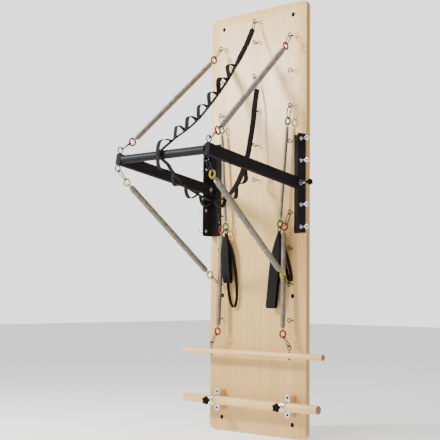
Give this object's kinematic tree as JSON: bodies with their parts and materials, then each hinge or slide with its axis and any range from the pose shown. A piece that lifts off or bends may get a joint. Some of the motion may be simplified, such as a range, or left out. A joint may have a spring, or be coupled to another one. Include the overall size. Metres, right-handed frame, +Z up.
{
  "type": "pilates springboard",
  "caption": "Wall-mounted pilates springboard with a push-through bar on springs, arm and leg springs, loop handles, roll-down bar, foot bar and a strap of sewn loops.",
  "frame": {"origin": "Centre of the board's back face, on the wall", "axes": "X across the board to the right as seen from in front, -Y out of the board's front face, +Z up"},
  "size_m": [0.87, 0.7052, 2],
  "materials": {
    "pine_board": "clear satin varnish over upright grain",
    "beech_dowel": "smooth turned, clear satin",
    "black_powder_coat": "satin black powder coat",
    "slate_satin_coat": "satin slate-grey coat",
    "bright_hardware": "bright plating; the rings of the links are coloured red, yellow and green",
    "spring_wire": "close-wound nickel-coloured wire",
    "black_plastic": "moulded satin",
    "black_webbing": "ribbed woven webbing"
  },
  "bodies": {
    "wall_board": {"board": "pine_board", "left_bracket": "black_powder_coat", "right_bracket": "black_powder_coat", "lower_left_screw_eye": "bright_hardware", "lower_right_screw_eye": "bright_hardware", "leg_left_screw_eye": "bright_hardware", "leg_right_screw_eye": "bright_hardware", "arm_left_screw_eye": "bright_hardware", "arm_right_screw_eye": "bright_hardware", "upper_left_screw_eye": "bright_hardware", "upper_right_screw_eye": "bright_hardware", "strap_top_screw_eye": "bright_hardware", "strap_end_screw_eye": "bright_hardware", "foot_left_block": "beech_dowel", "foot_right_block": "beech_dowel", "foot_left_clamp": "bright_hardware", "foot_right_clamp": "bright_hardware", "loop_strap": "black_webbing", "strap_top_hook": "bright_hardware", "strap_end_hook": "bright_hardware"},
    "push_bar": {"cross_tube": "slate_satin_coat", "left_arm": "black_powder_coat", "right_arm": "black_powder_coat", "left_bar_eye_bolt": "bright_hardware", "right_bar_eye_bolt": "bright_hardware"},
    "left_pivot_knob": {"left_pivot_knob": "black_plastic"},
    "right_pivot_knob": {"right_pivot_knob": "black_plastic"},
    "foot_bar": {"foot_bar": "beech_dowel"},
    "left_foot_knob": {"foot_left_knob": "black_plastic"},
    "right_foot_knob": {"foot_right_knob": "black_plastic"},
    "upper_left_spring": {"upper_left_spring_top_link": "bright_hardware", "upper_left_spring_coil": "spring_wire"},
    "upper_left_spring_end": {"upper_left_spring_end_link": "bright_hardware"},
    "upper_right_spring": {"upper_right_spring_top_link": "bright_hardware", "upper_right_spring_coil": "spring_wire"},
    "upper_right_spring_end": {"upper_right_spring_end_link": "bright_hardware"},
    "lower_left_spring": {"lower_left_spring_top_link": "bright_hardware", "lower_left_spring_coil": "spring_wire"},
    "lower_left_spring_end": {"lower_left_spring_end_link": "bright_hardware"},
    "lower_right_spring": {"lower_right_spring_top_link": "bright_hardware", "lower_right_spring_coil": "spring_wire"},
    "lower_right_spring_end": {"lower_right_spring_end_link": "bright_hardware"},
    "arm_left_spring": {"arm_left_spring_top_link": "bright_hardware", "arm_left_spring_coil": "spring_wire"},
    "arm_left_handle": {"arm_left_spring_end_link": "bright_hardware", "left_handle": "black_webbing"},
    "arm_right_spring": {"arm_right_spring_top_link": "bright_hardware", "arm_right_spring_coil": "spring_wire"},
    "arm_right_handle": {"arm_right_spring_end_link": "bright_hardware", "right_handle": "black_webbing"},
    "leg_springs": {"leg_left_spring_top_link": "bright_hardware", "leg_left_spring_coil": "spring_wire", "leg_right_spring_top_link": "bright_hardware", "leg_right_spring_coil": "spring_wire"},
    "roll_down_bar": {"roll_down_bar": "beech_dowel", "roll_down_left_eye_bolt": "bright_hardware", "roll_down_right_eye_bolt": "bright_hardware", "leg_left_spring_end_link": "bright_hardware", "leg_right_spring_end_link": "bright_hardware"}
  },
  "joints": [
    {"name": "push_bar_pivot", "type": "hinge", "parent": "wall_board", "child": "push_bar", "pos_m": [0, -0.067, 0.153], "axis": [-1, 0, 0], "range_deg": [-20, 20], "stiffness_Nm_per_rad": 300, "springref_deg": 1.72, "deforming": ["loop_strap"]},
    {"name": "upper_left_spring_swing", "type": "hinge", "parent": "wall_board", "child": "upper_left_spring", "pos_m": [-0.2185, -0.049, 0.843], "axis": [-1, 0, 0], "range_deg": [-13, 13]},
    {"name": "upper_left_spring_stretch", "type": "slide", "parent": "upper_left_spring", "child": "upper_left_spring_end", "axis": [0, -0.731, -0.6824], "range_m": [-0.18, 0.18], "deforming": ["upper_left_spring_coil"]},
    {"name": "upper_right_spring_swing", "type": "hinge", "parent": "wall_board", "child": "upper_right_spring", "pos_m": [0.2185, -0.049, 0.843], "axis": [-1, 0, 0], "range_deg": [-13, 13]},
    {"name": "upper_right_spring_stretch", "type": "slide", "parent": "upper_right_spring", "child": "upper_right_spring_end", "axis": [0, -0.731, -0.6824], "range_m": [-0.18, 0.18], "deforming": ["upper_right_spring_coil"]},
    {"name": "lower_left_spring_swing", "type": "hinge", "parent": "wall_board", "child": "lower_left_spring", "pos_m": [-0.2185, -0.049, -0.305], "axis": [-1, 0, 0], "range_deg": [-13, 13]},
    {"name": "lower_left_spring_stretch", "type": "slide", "parent": "lower_left_spring", "child": "lower_left_spring_end", "axis": [0, -0.7647, 0.6443], "range_m": [-0.18, 0.18], "deforming": ["lower_left_spring_coil"]},
    {"name": "lower_right_spring_swing", "type": "hinge", "parent": "wall_board", "child": "lower_right_spring", "pos_m": [0.2185, -0.049, -0.305], "axis": [-1, 0, 0], "range_deg": [-13, 13]},
    {"name": "lower_right_spring_stretch", "type": "slide", "parent": "lower_right_spring", "child": "lower_right_spring_end", "axis": [0, -0.7647, 0.6443], "range_m": [-0.18, 0.18], "deforming": ["lower_right_spring_coil"]},
    {"name": "arm_left_spring_swing", "type": "hinge", "parent": "wall_board", "child": "arm_left_spring", "pos_m": [-0.2185, -0.049, 0.515], "axis": [-1, 0, 0], "range_deg": [0, 35]},
    {"name": "arm_left_spring_stretch", "type": "slide", "parent": "arm_left_spring", "child": "arm_left_handle", "axis": [0.0848, -0.0162, -0.9963], "range_m": [0, 0.18], "stiffness_N_per_m": 150, "springref_m": -0.04, "deforming": ["arm_left_spring_coil"]},
    {"name": "arm_right_spring_swing", "type": "hinge", "parent": "wall_board", "child": "arm_right_spring", "pos_m": [0.2185, -0.049, 0.515], "axis": [-1, 0, 0], "range_deg": [0, 35]},
    {"name": "arm_right_spring_stretch", "type": "slide", "parent": "arm_right_spring", "child": "arm_right_handle", "axis": [-0.0848, -0.0162, -0.9963], "range_m": [0, 0.18], "stiffness_N_per_m": 150, "springref_m": -0.04, "deforming": ["arm_right_spring_coil"]},
    {"name": "leg_springs_swing", "type": "hinge", "parent": "wall_board", "child": "leg_springs", "pos_m": [0, -0.049, 0.023], "axis": [-1, 0, 0], "range_deg": [0, 70]},
    {"name": "roll_down_stretch", "type": "slide", "parent": "leg_springs", "child": "roll_down_bar", "axis": [0, -0.0436, -0.999], "range_m": [0, 0.16], "stiffness_N_per_m": 300, "springref_m": -0.05, "deforming": ["leg_left_spring_coil", "leg_right_spring_coil"]},
    {"name": "left_pivot_knob_turn", "type": "hinge", "parent": "wall_board", "child": "left_pivot_knob", "pos_m": [-0.3255, -0.067, 0.153], "axis": [1, 0, 0], "continuous": true},
    {"name": "left_foot_knob_turn", "type": "hinge", "parent": "wall_board", "child": "left_foot_knob", "pos_m": [-0.219, -0.1039, -0.8545], "axis": [0, -1, 0], "continuous": true},
    {"name": "right_pivot_knob_turn", "type": "hinge", "parent": "wall_board", "child": "right_pivot_knob", "pos_m": [0.3255, -0.067, 0.153], "axis": [1, 0, 0], "continuous": true},
    {"name": "right_foot_knob_turn", "type": "hinge", "parent": "wall_board", "child": "right_foot_knob", "pos_m": [0.219, -0.1039, -0.8545], "axis": [0, -1, 0], "continuous": true},
    {"name": "foot_bar_slide", "type": "slide", "parent": "wall_board", "child": "foot_bar", "axis": [1, 0, 0], "range_m": [-0.08, 0.08]}
  ],
  "couplings": [
    {"joint": "upper_left_spring_swing", "follows": "push_bar_pivot", "ratio": 0.396},
    {"joint": "upper_left_spring_stretch", "follows": "push_bar_pivot", "m_per_rad": -0.4907},
    {"joint": "upper_right_spring_swing", "follows": "push_bar_pivot", "ratio": 0.396},
    {"joint": "upper_right_spring_stretch", "follows": "push_bar_pivot", "m_per_rad": -0.4907},
    {"joint": "lower_left_spring_swing", "follows": "push_bar_pivot", "ratio": 0.596},
    {"joint": "lower_left_spring_stretch", "follows": "push_bar_pivot", "m_per_rad": 0.3391},
    {"joint": "lower_right_spring_swing", "follows": "push_bar_pivot", "ratio": 0.596},
    {"joint": "lower_right_spring_stretch", "follows": "push_bar_pivot", "m_per_rad": 0.3391}
  ]
}
